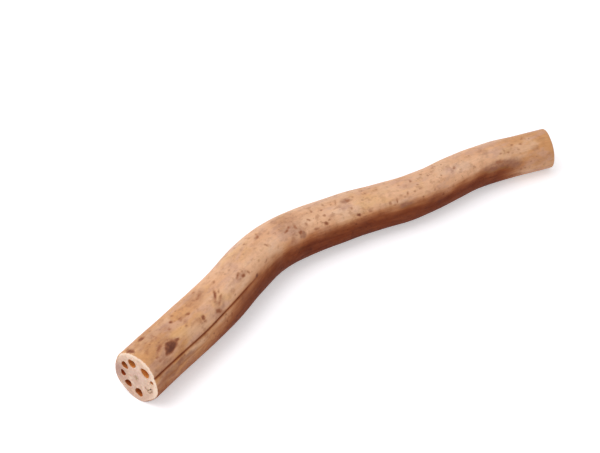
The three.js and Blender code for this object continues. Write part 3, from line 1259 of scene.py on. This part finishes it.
class LotusRootForm(bpy.types.PropertyGroup):
    """Sizes of the root's fine forms and how finely it is meshed."""

    crease_depth: length_setting("Crease depth", "Depth of the long crease in the flank", 0.6 * MM)
    scar_depth: length_setting("Scar depth", "How far a full scar is sunken", 0.3 * MM)
    unevenness: length_setting("Unevenness", "Height of the gentle swellings along the stem", 0.22 * MM)
    rib_height: length_setting("Rib height", "Height of the fine ribs along the skin", 0.05 * MM)
    skin_inset: length_setting("Skin inset", "How far the skin is drawn in", 0.08 * MM)
    rim_roundings: FloatVectorProperty(
        name="Rim roundings",
        description="Radius of the edge between skin and cut, at the wide and the narrow cut",
        default=(0.8 * MM, 1.8 * MM),
        size=2,
        min=0,
        unit="LENGTH",
        precision=5,
    )
    lip_rounding: length_setting("Lip rounding", "Radius of the edge of each channel's mouth", 0.3 * MM)
    crease_focus: amount_setting("Crease focus", "How much closer the columns lie at the creases", 2.6)
    skin_columns: count_setting("Skin columns", "Columns of faces around the stem", 168, 48)
    skin_rows: count_setting("Skin rows", "Rows of faces along the stem", 436, 40)
    rim_steps: count_setting("Rim steps", "Faces across the rounded rim", 4, 1)
    lip_steps: count_setting("Lip steps", "Faces across the rounded lip of a channel", 3, 1)
    channel_rows: count_setting("Channel rows", "Rows of faces along each channel", 16, 12)
    side_steps: count_setting("Side steps", "Faces from the core of a cut face to its rim", 7, 2)
    face_steps: count_setting("Face steps", "Faces from a channel's mouth to its sector's outline", 6, 2)
    core_steps: count_setting("Core steps", "Rings of faces in the core of a cut face", 3, 1)


class LotusRootFinish(bpy.types.PropertyGroup):
    """Colours of the skin, the flesh and the channels."""

    skin_peach: colour_setting("Skin, peach", "Tone of the skin along the middle", (0.79, 0.435, 0.25))
    skin_ochre: colour_setting("Skin, ochre", "Yellower tone near the cuts", (0.66, 0.32, 0.135))
    skin_pale: colour_setting("Skin, pale", "Lightest patches of the skin", (0.80, 0.49, 0.31))
    skin_gold: colour_setting("Skin, gold", "Warm yellow patches of the skin", (0.76, 0.42, 0.19))
    skin_rose: colour_setting("Skin, rose", "Greyish pink patches of the skin", (0.66, 0.37, 0.26))
    # the tint of the lower half's brown, partly painted shade
    skin_umber_and_shade: colour_setting("Skin, umber", "What the lowest skin is tinted by", (0.237, 0.080, 0.028))
    fleck_russet: colour_setting("Flecks", "Russet of the small flecks", (0.38, 0.14, 0.065))
    bruise_mauve: colour_setting("Bruises", "Greyish mauve of the soft bruises", (0.46, 0.235, 0.18))
    stain_brown: colour_setting("Stains", "Purplish brown of the soft stains", (0.31, 0.125, 0.073))
    scar_brown: colour_setting("Scars", "Dark brown of the scars", (0.15, 0.045, 0.025))
    flesh_cream: colour_setting("Flesh, cream", "Most of the cut flesh", (0.80, 0.555, 0.395))
    flesh_rose: colour_setting("Flesh, rose", "Middle of the cut flesh", (0.80, 0.56, 0.47))
    flesh_rim: colour_setting("Flesh, rim", "Pale band under the skin", (0.96, 0.74, 0.57))
    # the shade colour mottles the face and darkens it towards its left and bottom; the next one darkens
    # a spot on its left
    flesh_shade: colour_setting("Flesh, shade", "Darker mottling of the flesh", (0.62, 0.39, 0.28))
    flesh_dark_left: colour_setting("Flesh, bruise", "Bruised flesh near one channel", (0.47, 0.27, 0.21))
    flesh_pore: colour_setting("Flesh, pores", "Pores in the flesh", (0.42, 0.25, 0.14))
    # the lining's tan and brown are partly painted glow through the flesh and painted shade further in
    channel_tan_glow: colour_setting("Channel, tan", "Channel lining near its mouth", (0.82, 0.31, 0.07))
    channel_brown_shade: colour_setting("Channel, brown", "Channel lining further in", (0.42, 0.07, 0.01))
    # how far the creases are browned, partly painted shade in the grooves
    crease_brown_and_shade: amount_setting("Creases", "How deep the brown of the creases is", 0.8, max=2)
    skin_roughness: amount_setting(
        "Skin roughness", "Roughness of the clean skin", 0.5, max=1, subtype="FACTOR"
    )


class LotusRootStage(bpy.types.PropertyGroup):
    """The floor, the lamps and the camera."""

    floor_size: length_setting("Floor size", "Side of the square floor", 30.0)
    floor_colour: colour_setting("Floor", "Colour of the floor", (0.87, 0.85, 0.88))
    floor_lift: amount_setting("Floor lift", "Light that only the camera sees on the floor", 0.4, max=1)
    far_lift: amount_setting("Far lift", "The same light far from the root", 0.64, max=1)
    key_power: amount_setting("Key lamp", "Power of the large soft lamp", 14.5, unit="POWER")
    key_size: length_setting("Key size", "Side of the large soft lamp", 1.4)
    front_power: amount_setting("Front lamp", "Power of the weak lamp in front", 2.2, unit="POWER")
    front_size: length_setting("Front size", "Side of the weak lamp in front", 0.9)
    fill_strength: amount_setting("Fill", "Brightness of the surroundings", 0.55)
    lens: amount_setting("Lens", "Focal length", 54.0, min=1, unit="CAMERA")
    camera_height: length_setting("Camera height", "Height of the camera above the floor", 0.3911)


class LOTUSROOT_OT_root(bpy.types.Operator):
    """Builds the lotus root: its skin, cut faces and air channels, with their finishes."""

    bl_idname = "lotusroot.root"
    bl_label = "Build Lotus Root"

    def execute(self, context):
        finish = context.scene.lotus_root_finish
        root = bpy.data.objects.new(PIECE, root_mesh(context.scene.lotus_root_form))
        context.scene.collection.objects.link(root)
        groups = {
            "uneven_patches": patches_group(),
            "flecks": flecks_group(),
            "fibres": fibres_group(),
        }
        for make in (skin_material, flesh_material, channel_material):
            root.data.materials.append(make(finish, groups))
        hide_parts(NODE)
        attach(root, "root")
        return {"FINISHED"}


def add_lamp(name, size, power, place):
    """A square soft lamp at a place, aimed at the lit point."""
    light = bpy.data.lights.new(name, "AREA")
    light.shape = "SQUARE"
    light.size = size
    light.energy = power
    lamp = bpy.data.objects.new(name, light)
    lamp.location = place
    lamp.rotation_euler = (Vector(LIT_POINT) - Vector(place)).to_track_quat("-Z", "Y").to_euler()
    bpy.context.scene.collection.objects.link(lamp)


def floor_material(stage):
    """The floor: a pale surface that the camera sees lighter, and lighter still far from the root."""
    floor = Coat("pale_floor")
    place = floor.add("ShaderNodeTexCoord").outputs["Object"]
    distance = floor.vector("LENGTH", {0: place})["Value"]
    lift = floor.remap(distance, *FLOOR_LIFT_FROM, stage.floor_lift, stage.far_lift)
    surface = {
        "Base Color": stage.floor_colour,
        "Roughness": 0.9,
        "Emission Color": (1, 1, 1, 1),
        "Emission Strength": floor.times(floor.seen(), lift),
    }
    floor.fill(floor.surface, surface)
    return floor.material


def add_floor(stage):
    """The square floor, which isn't part of the root."""
    half = stage.floor_size / 2
    corners = [(-half, -half, 0), (half, -half, 0), (half, half, 0), (-half, half, 0)]
    mesh = bpy.data.meshes.new("floor")
    mesh.from_pydata(corners, [], [(0, 1, 2, 3)])
    mesh.materials.append(floor_material(stage))
    floor = bpy.data.objects.new("floor", mesh)
    bpy.context.scene.collection.objects.link(floor)


def set_world(strength):
    """Even surroundings of the given strength, which the camera and reflections see as white."""
    world = bpy.data.worlds.new("soft_surroundings")
    world.use_nodes = True
    nodes = NodeTree(world.node_tree)
    nodes.tree.nodes.clear()
    level = nodes.scaled(nodes.seen(), 1.0 - strength, strength)
    light = nodes.add("ShaderNodeBackground", {"Color": (1, 1, 1, 1), "Strength": level})
    nodes.add("ShaderNodeOutputWorld", {"Surface": light.outputs[0]})
    bpy.context.scene.world = world


def add_camera(stage):
    """The camera that the scene is seen with."""
    camera = bpy.data.objects.new("camera", bpy.data.cameras.new("camera"))
    camera.data.lens = stage.lens
    camera.data.sensor_width = SENSOR_WIDTH
    camera.data.clip_start = NEAR_CLIP
    camera.location = (*CAMERA_PLACE, stage.camera_height)
    camera.rotation_euler = Euler(np.radians((90 - CAMERA_DOWN, 0, CAMERA_HEADING - 90)))
    bpy.context.scene.collection.objects.link(camera)
    bpy.context.scene.camera = camera


class LOTUSROOT_OT_stage(bpy.types.Operator):
    """Sets the floor, the soft light and the camera."""

    bl_idname = "lotusroot.stage"
    bl_label = "Set Stage"

    def execute(self, context):
        stage = context.scene.lotus_root_stage
        add_floor(stage)
        set_world(stage.fill_strength)
        add_lamp("key_lamp", stage.key_size, stage.key_power, KEY_PLACE)
        add_lamp("front_lamp", stage.front_size, stage.front_power, FRONT_PLACE)
        add_camera(stage)
        context.scene.view_settings.view_transform = "Standard"
        return {"FINISHED"}


class LOTUSROOT_PT_panel(bpy.types.Panel):
    """Lists the root's settings and the buttons that build it."""

    bl_label = "Lotus Root"
    bl_space_type = "VIEW_3D"
    bl_region_type = "UI"
    bl_category = "Lotus Root"

    def draw(self, context):
        for operator in OPERATORS:
            self.layout.operator(operator.bl_idname)
        for settings in SETTINGS:
            box = self.layout.box()
            for name in SETTINGS[settings].__annotations__:
                box.prop(getattr(context.scene, settings), name)


SETTINGS = {
    "lotus_root_form": LotusRootForm,
    "lotus_root_finish": LotusRootFinish,
    "lotus_root_stage": LotusRootStage,
}
OPERATORS = (LOTUSROOT_OT_root, LOTUSROOT_OT_stage)
CLASSES = (*SETTINGS.values(), *OPERATORS, LOTUSROOT_PT_panel)


def register():
    """Registers the classes and hangs the settings on the scene."""
    for entry in CLASSES:
        bpy.utils.register_class(entry)
    for name, settings in SETTINGS.items():
        setattr(bpy.types.Scene, name, PointerProperty(type=settings))


def unregister():
    """Undoes register."""
    for name in SETTINGS:
        delattr(bpy.types.Scene, name)
    for entry in reversed(CLASSES):
        bpy.utils.unregister_class(entry)


def main():
    """Builds the root and its stage."""
    register()
    bpy.ops.lotusroot.root()
    bpy.ops.lotusroot.stage()


if __name__ == "__main__":
    main()
